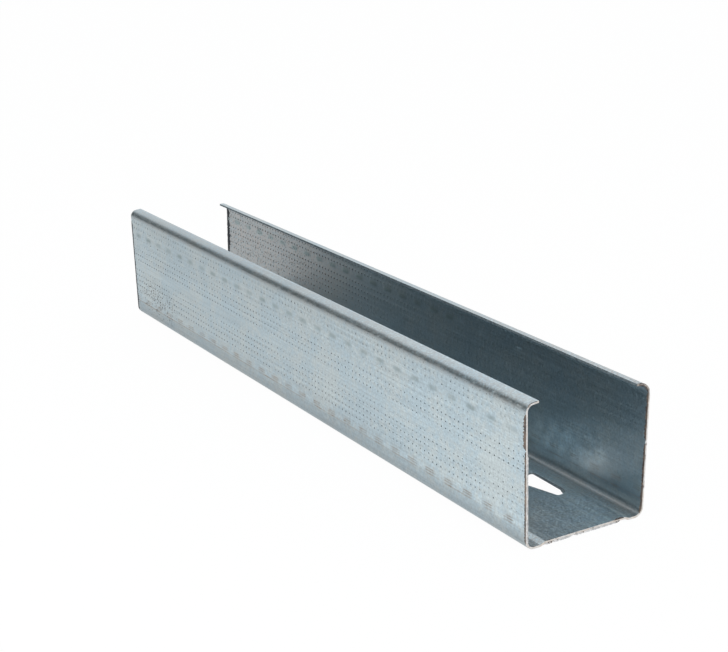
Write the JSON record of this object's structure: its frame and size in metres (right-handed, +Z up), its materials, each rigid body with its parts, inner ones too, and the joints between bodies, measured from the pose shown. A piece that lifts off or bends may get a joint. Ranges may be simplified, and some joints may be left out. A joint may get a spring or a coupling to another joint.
{
  "type": "lipped c-section stud",
  "caption": "Lipped C stud of thin galvanised steel sheet, with a raised panel along its web, a U-shaped service hole round a tapered tongue and dimpled flanges of unequal height.",
  "frame": {"origin": "under the middle of the web, halfway along, on the plane that the stud stands on", "axes": "+Z up out of the web, +Y along the length away from the end that the service hole is near, +X across the web towards the lower flange"},
  "size_m": [0.0506, 0.3, 0.0503],
  "materials": {
    "galvanised_steel": "matt hot-dip zinc with dimpled flanges and bare sawn ends"
  },
  "bodies": {
    "root": {"c_stud": "galvanised_steel"}
  },
  "joints": []
}
